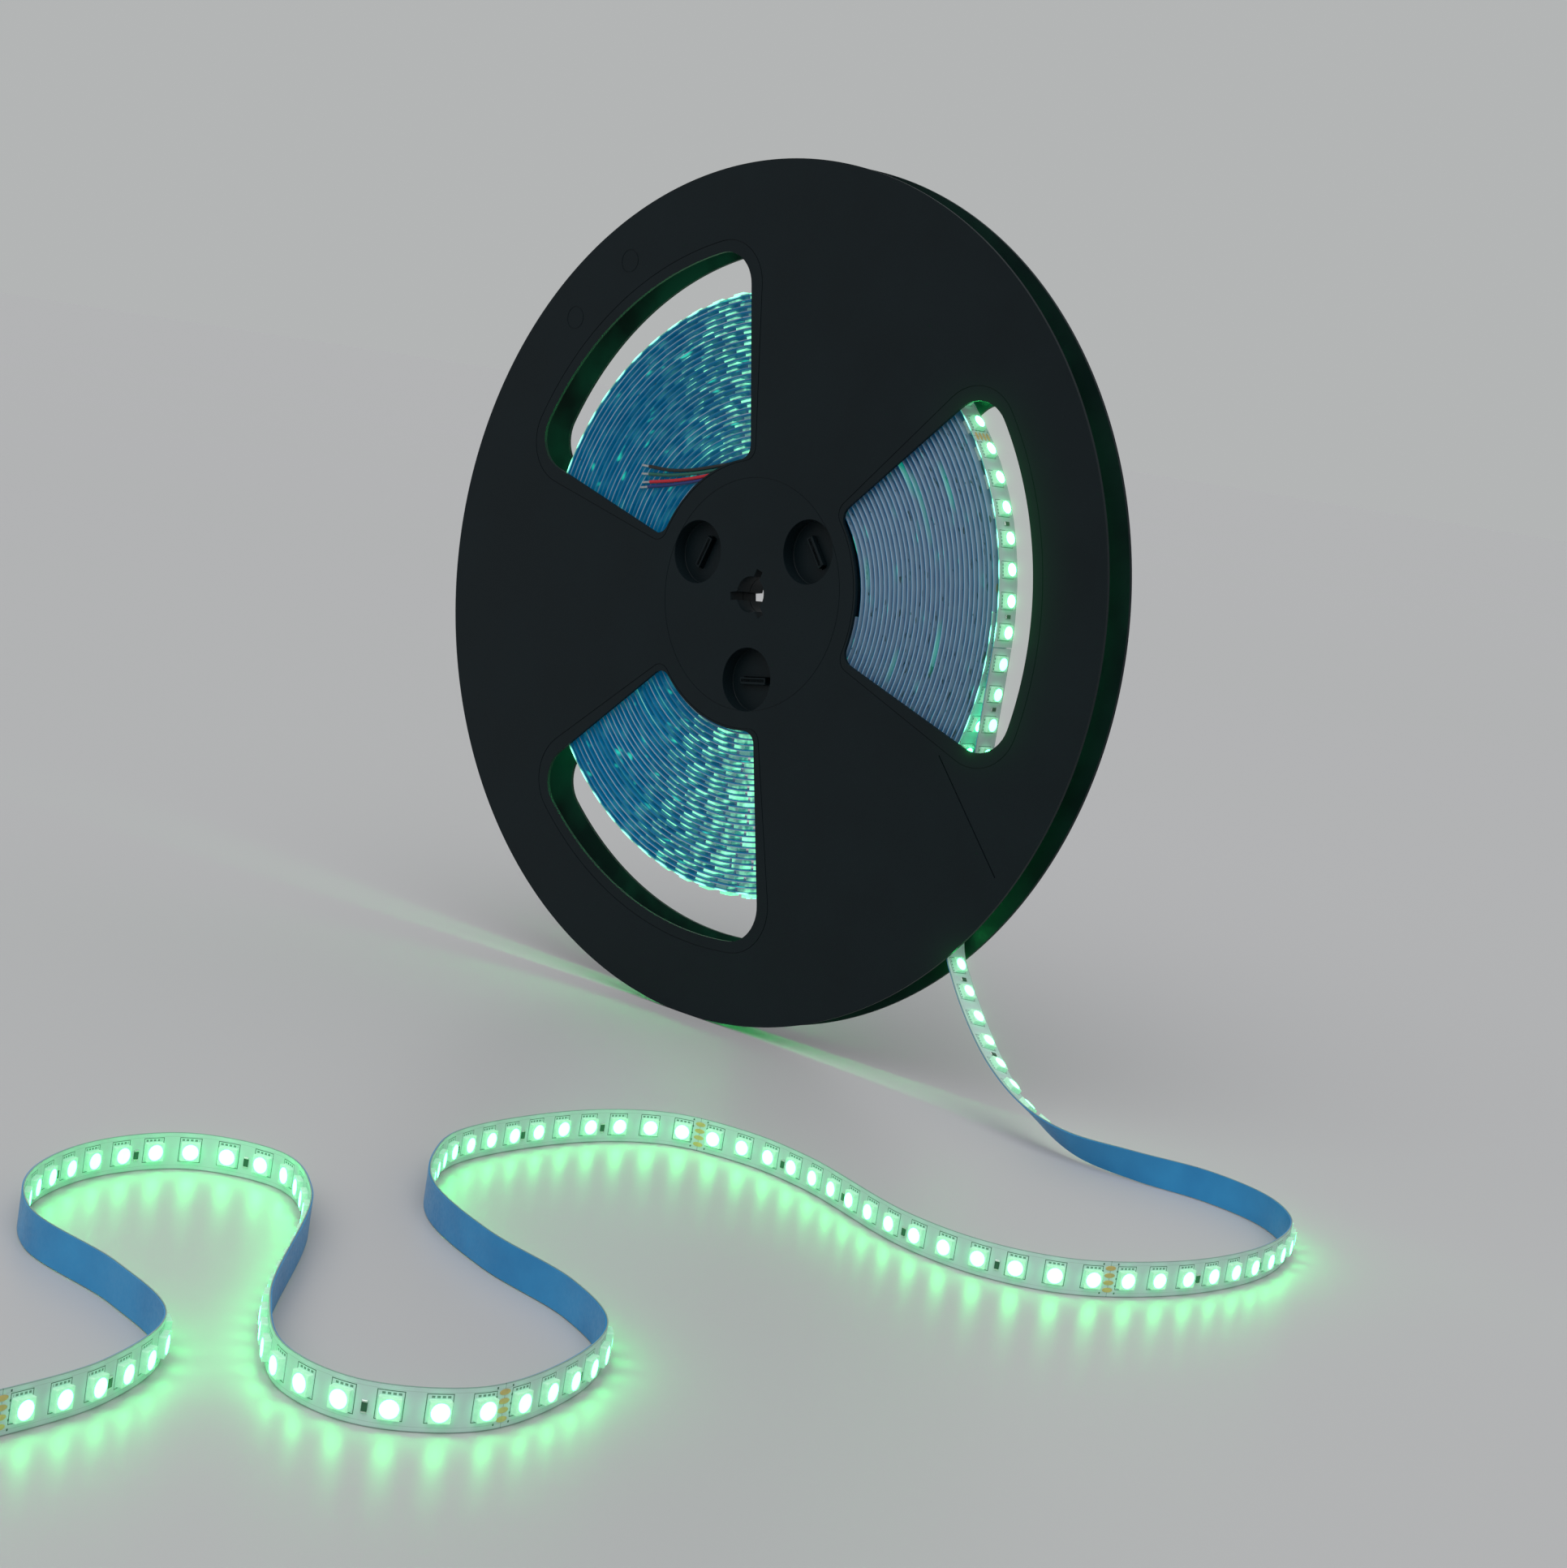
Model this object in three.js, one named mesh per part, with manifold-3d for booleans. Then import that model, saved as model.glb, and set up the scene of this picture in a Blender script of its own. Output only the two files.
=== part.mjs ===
import * as THREE from 'three';
import { mergeVertices } from 'three/addons/utils/BufferGeometryUtils.js';
import Module from 'manifold-3d';

// LED strip on a two-part plastic reel. Millimetres, +Z up, reel axis along Y, front face towards -Y.
// The reel stands on its rim and its lowest facet lies on z = 0.

const wasm = await Module();
wasm.setup();

// Reel
const reelDiameter = 310;
const rimFacets = 72;
const flangeThickness = 1.2;
const flangeGap = 11.6;
const windowOuterRadius = 125;
const windowSpread = 62;
const windowTurn = 12.5;
const windowInnerCorner = 5;
const windowOuterCorner = 13;
const drumRadius = 46.6;
const drumWall = 1.8;
const windowMargin = 2.4;
const hubPlate = 0.8;
const boreRadius = 6.5;
const boreWall = 4.5;
const notchWidth = 3;
const notchDepth = 3;
const notchTurn = windowTurn + 60;
const pocketRadius = 11.5;
const pocketWall = 1.2;
const pocketInset = 1.6;
const pocketTurn = 38.5;
const hookWidth = 12;
const hookThickness = 1.6;
const hookCatch = 1;
const hookHead = 2;

// Strip
const stripWidth = 10;
const boardThickness = 0.6;
const ledPitch = 1000 / 96;
const ledSize = 5;
const ledHeight = 1.4;
const turnPitch = 2.05;
const turnCount = 30;
const ledsPerFacet = 2;

// Lead wires
const wireDiameter = 0.9;
const tipDiameter = 0.7;
const tipLength = 3.5;

// Clearances
const seatGap = 0.3;

const degree = Math.PI / 180;
const axisHeight = (reelDiameter / 2) * Math.cos(Math.PI / rimFacets);
const flangeInner = flangeGap / 2;
const flangeOuter = flangeInner + flangeThickness;
const rollBack = flangeInner - seatGap;
const rollMiddle = rollBack - stripWidth / 2;
const rollFront = rollBack - stripWidth;
const windowInnerRadius = drumRadius + windowMargin;
const hubRadius = drumRadius - drumWall;
const sleeveRadius = boreRadius + boreWall;
const pocketDistance = hubRadius - pocketInset - pocketWall - pocketRadius;
const firstTurnRadius = drumRadius + seatGap + boardThickness;
const rollRadius = firstTurnRadius + turnCount * turnPitch;

const materials = {
  blackPlastic: new THREE.MeshStandardMaterial({ color: 0x1a1e21, roughness: 0.55, metalness: 0 }),
  stripRoll: new THREE.MeshStandardMaterial({ color: 0x1f6f97, roughness: 0.5, metalness: 0 }),
  stripTail: new THREE.MeshStandardMaterial({ color: 0xdfe6e2, roughness: 0.45, metalness: 0 }),
  blackWire: new THREE.MeshStandardMaterial({ color: 0x0b0c0d, roughness: 0.45, metalness: 0 }),
  greenWire: new THREE.MeshStandardMaterial({ color: 0x0f5a48, roughness: 0.45, metalness: 0 }),
  redWire: new THREE.MeshStandardMaterial({ color: 0xa3182a, roughness: 0.45, metalness: 0 }),
  blueWire: new THREE.MeshStandardMaterial({ color: 0x14307c, roughness: 0.45, metalness: 0 }),
  tinned: new THREE.MeshStandardMaterial({ color: 0xc9ccd0, roughness: 0.3, metalness: 1 }),
};

function toSolid(geometry) {
  const bare = geometry.clone();
  bare.deleteAttribute('normal');
  bare.deleteAttribute('uv');
  const merged = mergeVertices(bare, 1e-4);
  return new wasm.Manifold(new wasm.Mesh({
    numProp: 3,
    vertProperties: new Float32Array(merged.attributes.position.array),
    triVerts: new Uint32Array(merged.index.array),
  }));
}

function toGeometry(solid) {
  const mesh = solid.getMesh();
  const geometry = new THREE.BufferGeometry();
  geometry.setAttribute('position', new THREE.BufferAttribute(mesh.vertProperties, 3));
  geometry.setIndex(new THREE.BufferAttribute(mesh.triVerts, 1));
  return geometry;
}

function joined(solids) {
  return solids.reduce((whole, solid) => whole.add(solid));
}

// Points of an arc about (x, y), from one angle to the other in degrees
function arc(x, y, radius, from, to, steps) {
  const points = [];
  for (let i = 0; i <= steps; i += 1) {
    const angle = (from + (to - from) * i / steps) * degree;
    points.push(new THREE.Vector2(x + radius * Math.cos(angle), y + radius * Math.sin(angle)));
  }
  return points;
}

function circle(x, y, radius, steps) {
  return arc(x, y, radius, 0, 360, steps).slice(0, steps);
}

function polar(radius, angle) {
  return [radius * Math.cos(angle * degree), radius * Math.sin(angle * degree)];
}

// A plate cut from an outline in the reel's plane, between two places on the reel's axis
function plate(outline, holes, from, to) {
  const shape = new THREE.Shape(outline);
  for (const hole of holes) {
    shape.holes.push(new THREE.Path(hole));
  }
  const geometry = new THREE.ExtrudeGeometry(shape, { depth: to - from, bevelEnabled: false });
  geometry.rotateX(Math.PI / 2);
  geometry.translate(0, to, 0);
  return toSolid(geometry);
}

// A block in the reel's plane: length along the tangent at an angle, width along the radius
function blockOutline(radius, angle, length, width, shift) {
  const corners = [[-1, -1], [1, -1], [1, 1], [-1, 1]];
  const [cx, cy] = polar(radius + shift, angle);
  const [rx, ry] = polar(1, angle);
  return corners.map(([a, b]) => new THREE.Vector2(
    cx - ry * a * length / 2 + rx * b * width / 2,
    cy + rx * a * length / 2 + ry * b * width / 2,
  ));
}

// Window: part of a ring with radial sides and rounded corners
function windowOutline(middle) {
  const half = windowSpread / 2;
  const outerCentre = windowOuterRadius - windowOuterCorner;
  const innerCentre = windowInnerRadius + windowInnerCorner;
  const outerTurn = half - Math.asin(windowOuterCorner / outerCentre) / degree;
  const innerTurn = half - Math.asin(windowInnerCorner / innerCentre) / degree;
  const points = [];
  points.push(...arc(0, 0, windowOuterRadius, middle - outerTurn, middle + outerTurn, 12));
  const [ax, ay] = polar(outerCentre, middle + outerTurn);
  points.push(...arc(ax, ay, windowOuterCorner, middle + outerTurn, middle + half + 90, 5).slice(1));
  const [bx, by] = polar(innerCentre, middle + innerTurn);
  points.push(...arc(bx, by, windowInnerCorner, middle + half + 90, middle + innerTurn + 180, 4));
  points.push(...arc(0, 0, windowInnerRadius, middle + innerTurn, middle - innerTurn, 6).slice(1, -1));
  const [cx, cy] = polar(innerCentre, middle - innerTurn);
  points.push(...arc(cx, cy, windowInnerCorner, middle - innerTurn + 180, middle - half + 270, 4));
  const [dx, dy] = polar(outerCentre, middle - outerTurn);
  points.push(...arc(dx, dy, windowOuterCorner, middle - half - 90, middle - outerTurn, 5).slice(0, -1));
  return points;
}

// Centre hole with three square notches
function boreOutline() {
  const points = [];
  const notchHalf = Math.asin(notchWidth / 2 / boreRadius) / degree;
  for (let i = 0; i < 3; i += 1) {
    const turn = notchTurn + 120 * i;
    const [rx, ry] = polar(1, turn);
    const reach = boreRadius + notchDepth;
    points.push(new THREE.Vector2(rx * reach + ry * notchWidth / 2, ry * reach - rx * notchWidth / 2));
    points.push(new THREE.Vector2(rx * reach - ry * notchWidth / 2, ry * reach + rx * notchWidth / 2));
    points.push(...arc(0, 0, boreRadius, turn + notchHalf, turn + 120 - notchHalf, 8));
  }
  return points;
}

const bore = boreOutline();
const pocketTurns = [0, 1, 2].map((i) => pocketTurn + 120 * i);
const pocketPlaces = pocketTurns.map((turn) => polar(pocketDistance, turn));

const sleeveOutline = circle(0, 0, sleeveRadius, 32);

function pocketMouths() {
  return pocketPlaces.map(([x, y]) => circle(x, y, pocketRadius, 24));
}

// Front flange: a plate with three windows round the hub
function flange() {
  const windows = [0, 1, 2].map((i) => windowOutline(windowTurn + 120 * i));
  const rimStart = -90 + 180 / rimFacets;
  const rim = arc(0, 0, reelDiameter / 2, rimStart, rimStart + 360, rimFacets).slice(0, rimFacets);
  return toGeometry(plate(rim, [...windows, circle(0, 0, hubRadius, 48)], -flangeOuter, -flangeInner));
}

// Front sleeve: the tube round the notched centre hole
function sleeve() {
  return toGeometry(plate(sleeveOutline, [bore], -flangeOuter, -seatGap / 2));
}

// Front hub: the middle of the flange with a thicker plate behind it, half of the drum, three pockets
// and three snap hooks that reach into the pockets of the other hub
function hub() {
  const wallStart = -flangeInner + hubPlate / 2;
  const half = -seatGap / 2;
  const floorTop = half - pocketWall;
  const mouths = [...pocketMouths(), sleeveOutline];
  const pieces = [
    plate(circle(0, 0, hubRadius, 48), mouths, -flangeOuter, wallStart),
    plate(circle(0, 0, drumRadius, 48), mouths, -flangeInner, -flangeInner + hubPlate),
    plate(circle(0, 0, drumRadius, 48), [circle(0, 0, hubRadius, 48)], wallStart, half),
  ];
  for (const turn of pocketTurns) {
    const [x, y] = polar(pocketDistance, turn);
    const slot = blockOutline(pocketDistance, turn, hookWidth + 2 * seatGap, hookThickness + 2 * seatGap, 0);
    const wall = circle(x, y, pocketRadius + pocketWall, 24);
    pieces.push(plate(wall, [circle(x, y, pocketRadius, 24)], wallStart, half));
    pieces.push(plate(circle(x, y, pocketRadius + pocketWall / 2, 24), [slot], floorTop, half));
  }
  for (const turn of pocketTurns.map((angle) => 2 * windowTurn - angle)) {
    const headFrom = seatGap / 2 + pocketWall + seatGap;
    const headTo = headFrom + hookHead;
    const stem = blockOutline(pocketDistance, turn, hookWidth, hookThickness, 0);
    const head = blockOutline(pocketDistance, turn, hookWidth, hookThickness + hookCatch, hookCatch / 2);
    pieces.push(plate(stem, [], wallStart, headTo));
    pieces.push(plate(head, [], headFrom, headTo));
  }
  return toGeometry(joined(pieces));
}

// Closed ribbon through a list of sections: a middle, the width direction and the face normal
function ribbon(sections, width, thickness) {
  const positions = [];
  const faces = [];
  for (const { middle, across, normal } of sections) {
    for (const [a, b] of [[-1, -1], [1, -1], [1, 1], [-1, 1]]) {
      const corner = middle.clone();
      corner.addScaledVector(across, a * width / 2);
      corner.addScaledVector(normal, b * thickness / 2);
      positions.push(corner.x, corner.y, corner.z);
    }
  }
  const last = 4 * (sections.length - 1);
  for (let base = 0; base < last; base += 4) {
    for (let side = 0; side < 4; side += 1) {
      const a = base + side;
      const b = base + (side + 1) % 4;
      faces.push(a, b + 4, b, a, a + 4, b + 4);
    }
  }
  faces.push(0, 1, 2, 0, 2, 3);
  faces.push(last, last + 2, last + 1, last, last + 3, last + 2);
  const geometry = new THREE.BufferGeometry();
  geometry.setAttribute('position', new THREE.Float32BufferAttribute(positions, 3));
  geometry.setIndex(faces);
  return geometry;
}

// One LED package on the ribbon's face, sunk into it a little
function ledBox(middle, along, across, normal) {
  const height = ledHeight + boardThickness / 2;
  const geometry = new THREE.BoxGeometry(ledSize, ledSize, height);
  const place = new THREE.Matrix4().makeBasis(across, along, normal);
  const centre = middle.clone().addScaledVector(normal, boardThickness / 2 + ledHeight - height / 2);
  place.setPosition(centre);
  geometry.applyMatrix4(place);
  return toSolid(geometry);
}

// Wound strip: a spiral of flat facets, LEDs on the outermost turn only
function stripRoll() {
  const facets = Math.round(2 * Math.PI * rollRadius / (ledPitch * ledsPerFacet));
  const steps = facets * turnCount;
  const sections = [];
  for (let i = 0; i <= steps; i += 1) {
    const back = (steps - i) / facets;
    const angle = 2 * Math.PI * back;
    const radius = rollRadius - turnPitch * back;
    const normal = new THREE.Vector3(Math.cos(angle), 0, Math.sin(angle));
    const middle = normal.clone().multiplyScalar(radius);
    middle.y = rollMiddle;
    sections.push({ middle, across: new THREE.Vector3(0, -1, 0), normal });
  }
  const solids = [toSolid(ribbon(sections, stripWidth, boardThickness))];
  for (let i = steps - facets; i < steps; i += 1) {
    const start = sections[i].middle;
    const end = sections[i + 1].middle;
    const along = end.clone().sub(start);
    const length = along.length();
    along.normalize();
    const across = new THREE.Vector3(0, -1, 0);
    const normal = across.clone().cross(along);
    for (let k = 0; k < ledsPerFacet; k += 1) {
      const middle = start.clone().addScaledVector(along, length * (k + 0.5) / ledsPerFacet);
      solids.push(ledBox(middle, along, across, normal));
    }
  }
  return toGeometry(joined(solids));
}

// Route of the loose end: out of the roll, down to the floor and over it on edge
const floorLevel = stripWidth / 2 + 0.15;
const tailPoints = [
  [rollRadius, rollMiddle, axisHeight - seatGap],
  [109.3, 0, 72],
  [111.2, -0.5, 51],
  [116.6, -1.5, 42.2],
  [130.8, -6, 28.7],
  [147.2, -12, 17.9],
  [165.3, -17.2, 9.8],
  [185, -20.5, 5.8],
  [208, -18.5, floorLevel],
  [232, -13.5, floorLevel],
  [256, -18, floorLevel],
  [275, -34, floorLevel],
  [286, -60, floorLevel],
  [288.9, -89, floorLevel],
  [284.5, -117, floorLevel],
  [272, -142, floorLevel],
  [252.4, -154, floorLevel],
  [226, -155.4, floorLevel],
  [174.5, -140.2, floorLevel],
  [149, -139, floorLevel],
  [127, -147.5, floorLevel],
  [116, -172, floorLevel],
  [119.5, -226, floorLevel],
  [134, -250, floorLevel],
  [157, -271, floorLevel],
  [194, -285.3, floorLevel],
  [231, -292, floorLevel],
  [257, -306, floorLevel],
  [272.5, -335, floorLevel],
  [276, -364, floorLevel],
  [262, -384, floorLevel],
  [240, -386.5, floorLevel],
  [212, -369, floorLevel],
  [150, -306.5, floorLevel],
  [121, -293.5, floorLevel],
  [100, -306, floorLevel],
  [97.5, -334, floorLevel],
  [113, -365, floorLevel],
  [140, -384, floorLevel],
  [180, -388, floorLevel],
  [212, -398, floorLevel],
  [230, -426, floorLevel],
  [236, -456, floorLevel],
  [237, -468, floorLevel],
];
const twistStart = 125;
const twistEnd = 250;

function tailSection(route, length, distance) {
  const middle = route.getPointAt(distance / length);
  const along = route.getTangentAt(distance / length);
  const turn = THREE.MathUtils.smoothstep(distance, twistStart, twistEnd) * Math.PI / 2;
  const across = new THREE.Vector3(0, -Math.cos(turn), Math.sin(turn));
  across.addScaledVector(along, -across.dot(along)).normalize();
  const normal = across.clone().cross(along);
  return { middle, along, across, normal };
}

// Loose end: one facet for each LED, so that every package sits flat
function stripTail() {
  const route = new THREE.CatmullRomCurve3(tailPoints.map((point) => new THREE.Vector3(...point)));
  route.arcLengthDivisions = 4000;
  const length = route.getLength();
  const count = Math.floor(length / ledPitch);
  const sections = [];
  for (let i = 0; i <= count; i += 1) {
    sections.push(tailSection(route, length, i * ledPitch));
  }
  const solids = [toSolid(ribbon(sections, stripWidth, boardThickness))];
  for (let i = 0; i < count; i += 1) {
    const { across } = tailSection(route, length, (i + 0.5) * ledPitch);
    const start = sections[i].middle;
    const end = sections[i + 1].middle;
    const along = end.clone().sub(start).normalize();
    const middle = start.clone().add(end).multiplyScalar(0.5);
    across.addScaledVector(along, -across.dot(along)).normalize();
    solids.push(ledBox(middle, along, across, across.clone().cross(along)));
  }
  return toGeometry(joined(solids));
}

// Lead wires lie on the side of the roll and come out from under the front flange
const wireDepth = rollFront - (flangeInner + rollFront) / 2;
const wireRuns = {
  black: [[-20.2, 44.6], [-30, 42], [-40, 39.6], [-50, 38.3], [-60.5, 38.3]],
  green: [[-23, 42.4], [-32, 40.1], [-42, 37.8], [-51, 36.3], [-60, 35.5]],
  red: [[-26.5, 40.2], [-36, 37.4], [-48, 34.6], [-59, 32.7]],
  blue: [[-29.3, 38.1], [-38, 35.5], [-48, 33.1], [-59.6, 30.8]],
};

function tube(points, diameter, steps) {
  const path = new THREE.CatmullRomCurve3(points);
  const section = new THREE.Shape(circle(0, 0, diameter / 2, 8));
  return new THREE.ExtrudeGeometry(section, { steps, bevelEnabled: false, extrudePath: path });
}

function wirePoints(run) {
  return run.map(([x, z]) => new THREE.Vector3(x, wireDepth, axisHeight + z));
}

function wireTip(run) {
  const points = wirePoints(run);
  const end = points[points.length - 1];
  const along = end.clone().sub(points[points.length - 2]).normalize();
  const start = end.clone().addScaledVector(along, seatGap / 2);
  const finish = start.clone().addScaledVector(along, tipLength);
  return tube([start, finish], tipDiameter, 2);
}

const object = new THREE.Group();
const reel = new THREE.Group();
reel.position.z = axisHeight;
object.add(reel);

function addMesh(name, geometry, material, parent = object) {
  geometry.deleteAttribute('normal');
  geometry.computeVertexNormals();
  const mesh = new THREE.Mesh(geometry, material);
  mesh.name = name;
  parent.add(mesh);
  return mesh;
}

// The back half is the same moulding, turned over about the middle line of the first window
const [flipX, flipZ] = polar(1, windowTurn);
const backHalf = new THREE.Group();
backHalf.quaternion.setFromAxisAngle(new THREE.Vector3(flipX, 0, flipZ), Math.PI);
reel.add(backHalf);
addMesh('front_flange', flange(), materials.blackPlastic, reel);
addMesh('front_hub', hub(), materials.blackPlastic, reel);
addMesh('front_sleeve', sleeve(), materials.blackPlastic, reel);
addMesh('back_flange', flange(), materials.blackPlastic, backHalf);
addMesh('back_hub', hub(), materials.blackPlastic, backHalf);
addMesh('back_sleeve', sleeve(), materials.blackPlastic, backHalf);
addMesh('strip_roll', stripRoll(), materials.stripRoll, reel);
addMesh('strip_tail', stripTail(), materials.stripTail);

for (const [colour, run] of Object.entries(wireRuns)) {
  addMesh(`${colour}_wire`, tube(wirePoints(run), wireDiameter, 12), materials[`${colour}Wire`]);
  addMesh(`${colour}_wire_tip`, wireTip(run), materials.tinned);
}

export default object;
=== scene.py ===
import math

import bpy
from mathutils import Matrix, Vector


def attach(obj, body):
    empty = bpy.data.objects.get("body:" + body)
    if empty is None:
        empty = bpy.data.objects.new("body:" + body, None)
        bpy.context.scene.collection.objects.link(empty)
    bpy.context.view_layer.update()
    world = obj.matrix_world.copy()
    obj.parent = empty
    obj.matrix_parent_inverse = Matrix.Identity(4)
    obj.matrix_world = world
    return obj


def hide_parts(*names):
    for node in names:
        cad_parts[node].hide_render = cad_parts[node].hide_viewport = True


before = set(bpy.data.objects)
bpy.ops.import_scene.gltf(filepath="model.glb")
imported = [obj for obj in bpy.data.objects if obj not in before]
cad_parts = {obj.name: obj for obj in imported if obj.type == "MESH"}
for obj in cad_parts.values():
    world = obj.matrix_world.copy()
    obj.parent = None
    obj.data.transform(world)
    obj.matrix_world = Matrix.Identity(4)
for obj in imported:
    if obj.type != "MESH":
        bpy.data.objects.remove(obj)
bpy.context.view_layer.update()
scene = bpy.context.scene
mm = 0.001
print("stage: frame loaded")

# The part's driving sizes in millimetres, as in its own source
reel = {
    "axisHeight": 154.85,
    "flangeThickness": 1.2,
    "flangeInner": 5.8,
    "windowTurn": 12.5,
    "windowSpread": 62,
    "windowInner": 49,
    "windowOuter": 125,
    "drumRadius": 46.6,
    "drumWall": 1.8,
    "seam": 0.15,
}
strip = {
    "width": 10,
    "ledPitch": 1000 / 96,
    "rollRadius": 109.0,
    "rollMiddle": 0.5,
    "turnPitch": 2.05,
    "turns": 30,
    "facesUp": 0.3,
    "firstCut": 8,
    "printFrom": -690,
    "cutUnit": 15,
    "resistorStep": 3,
    "smoothAngle": 35,
}
reelCentre = Vector((0, 0, reel["axisHeight"])) * mm
halfStrip = strip["width"] / 2


def deselectAll():
    if bpy.context.mode != "OBJECT":
        bpy.ops.object.mode_set(mode="OBJECT")
    bpy.ops.object.select_all(action="DESELECT")


def addShape(name, adder, **placing):
    deselectAll()
    adder(**placing)
    piece = bpy.context.object
    piece.name = name
    piece.data.name = name
    bpy.ops.object.transform_apply(location=True, rotation=True, scale=True)
    return piece


def addBox(name, size, place, turn=0.0):
    # A block in millimetres, turned about the reel's axis
    return addShape(name, bpy.ops.mesh.primitive_cube_add, size=1, rotation=(0, -turn, 0),
                    location=[side * mm for side in place], scale=[side * mm for side in size])


def chooseOnly(*pieces):
    deselectAll()
    for piece in pieces:
        piece.select_set(True)
    bpy.context.view_layer.objects.active = pieces[0]


def editPiece(piece, mode):
    chooseOnly(piece)
    bpy.ops.object.mode_set(mode="EDIT")
    bpy.ops.mesh.select_mode(type=mode)
    bpy.ops.mesh.select_all(action="DESELECT")
    bpy.ops.object.mode_set(mode="OBJECT")


def pickEdges(piece, wanted):
    editPiece(piece, "EDGE")
    places = piece.data.vertices
    for edge in piece.data.edges:
        edge.select = wanted(places[edge.vertices[0]].co, places[edge.vertices[1]].co)
    bpy.ops.object.mode_set(mode="EDIT")


def pickFaces(piece, wanted):
    editPiece(piece, "FACE")
    for face in piece.data.polygons:
        face.select = wanted(face.center, face.normal)
    bpy.ops.object.mode_set(mode="EDIT")


def facingUp(centre, normal):
    return normal.z > 0.9


def topEdge(a, b):
    return a.z > 0 and b.z > 0


def leaveEdit():
    bpy.ops.object.mode_set(mode="OBJECT")


def bevelPicked(width, segments=1):
    bpy.ops.mesh.bevel(offset=width * mm, segments=segments, affect="EDGES")
    leaveEdit()


def joinPieces(name, pieces):
    chooseOnly(*pieces)
    bpy.ops.object.join()
    whole = bpy.context.object
    whole.name = name
    whole.data.name = name
    return whole


def useModifier(piece, kind, **settings):
    chooseOnly(piece)
    modifier = piece.modifiers.new(kind, kind)
    for key, value in settings.items():
        setattr(modifier, key, value)
    bpy.ops.object.modifier_apply(modifier=modifier.name)


def cutAway(piece, cutter, selfCrossing=False):
    useModifier(piece, "BOOLEAN", operation="DIFFERENCE", object=cutter, solver="EXACT",
                use_self=selfCrossing)
    bpy.data.objects.remove(cutter, do_unlink=True)


def copyPiece(piece, name):
    twin = piece.copy()
    twin.data = piece.data.copy()
    twin.name = name
    twin.data.name = name
    scene.collection.objects.link(twin)
    return twin


def onReel(radius, angle, depth=0.0):
    turn = math.radians(angle)
    return Vector((radius * math.cos(turn), depth, radius * math.sin(turn)))


def dress(piece, *finishes):
    piece.data.materials.clear()
    for finish in finishes:
        piece.data.materials.append(finish)


def useSlot(piece, slot):
    for face in piece.data.polygons:
        face.material_index = slot


def rideRoot(slot, *pieces):
    for piece in pieces:
        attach(piece, "root")


class Link:
    def __init__(self, finish, socket):
        self.finish = finish
        self.socket = socket

    def maths(self, operation, *others):
        return self.finish.maths(operation, self, *others)

    def __add__(self, other):
        return self.maths("ADD", other)

    def __sub__(self, other):
        return self.maths("SUBTRACT", other)

    def __rsub__(self, other):
        return self.finish.maths("SUBTRACT", other, self)

    def __mul__(self, other):
        return self.maths("MULTIPLY", other)

    def __lt__(self, other):
        return self.maths("LESS_THAN", other)

    def __gt__(self, other):
        return self.maths("GREATER_THAN", other)

    def __abs__(self):
        return self.maths("ABSOLUTE")

    def __mod__(self, other):
        return self.maths("FLOORED_MODULO", other)

    __radd__ = __add__
    __rmul__ = __mul__


class Finish:
    def __init__(self, name, **shader):
        self.material = bpy.data.materials.new(name)
        self.material.use_nodes = True
        self.tree = self.material.node_tree
        self.shader = self.tree.nodes["Principled BSDF"]
        self.material.cycles.emission_sampling = "NONE"
        for socket, value in shader.items():
            self.shader.inputs[socket.replace("_", " ")].default_value = value

    def node(self, kind, settings=None, sockets=None, output=0):
        made = self.tree.nodes.new(kind)
        for key, value in (settings or {}).items():
            setattr(made, key, value)
        for key, value in (sockets or {}).items():
            self.feed(made.inputs[key], value)
        return Link(self, made.outputs[output])

    def feed(self, socket, value):
        if isinstance(value, Link):
            self.tree.links.new(value.socket, socket)
        else:
            socket.default_value = value

    def set(self, name, value):
        self.feed(self.shader.inputs[name], value)

    def maths(self, operation, *values):
        return self.node("ShaderNodeMath", {"operation": operation}, dict(enumerate(values)))

    def noise(self, scale, detail=2, vector=None):
        sockets = {"Scale": scale, "Detail": detail}
        sockets["Vector"] = vector or self.node("ShaderNodeTexCoord", output="Object")
        return self.node("ShaderNodeTexNoise", sockets=sockets)

    def rescale(self, value, low, high, newLow, newHigh):
        sockets = {"Value": value, 1: low, 2: high, 3: newLow, 4: newHigh}
        return self.node("ShaderNodeMapRange", {"clamp": True}, sockets)

    def patches(self, scale, detail=2, low=0.3, high=0.7):
        return self.rescale(self.noise(scale, detail), low, high, 0, 1)

    def between(self, mask, first, second):
        # A colour is given as a link, as four numbers or by its name in finishValues
        sockets = {0: mask, 6: finishValues.get(first, first), 7: finishValues.get(second, second)}
        return self.node("ShaderNodeMix", {"data_type": "RGBA"}, sockets, output=2)

    def tint(self, mask, first, second):
        self.set("Base Color", self.between(mask, first, second))

    def light(self, mask, first, second):
        self.set("Emission Color", self.between(mask, first, second))

    def bump(self, height, strength, distance):
        sockets = {"Height": height, "Strength": strength, "Distance": distance}
        self.set("Normal", self.node("ShaderNodeBump", sockets=sockets))

    def parts(self, vector):
        separate = self.node("ShaderNodeSeparateXYZ", sockets={0: vector})
        return [Link(self, output) for output in separate.socket.node.outputs]

    def objectPlace(self):
        return self.parts(self.node("ShaderNodeTexCoord", output="Object"))

    def stripPlace(self):
        # The strips' UV map holds millimetres along the strip and across it
        return self.parts(self.node("ShaderNodeUVMap"))[:2]

    def onStrip(self, along, across=0):
        return self.node("ShaderNodeCombineXYZ", sockets={0: along, 1: across})


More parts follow.
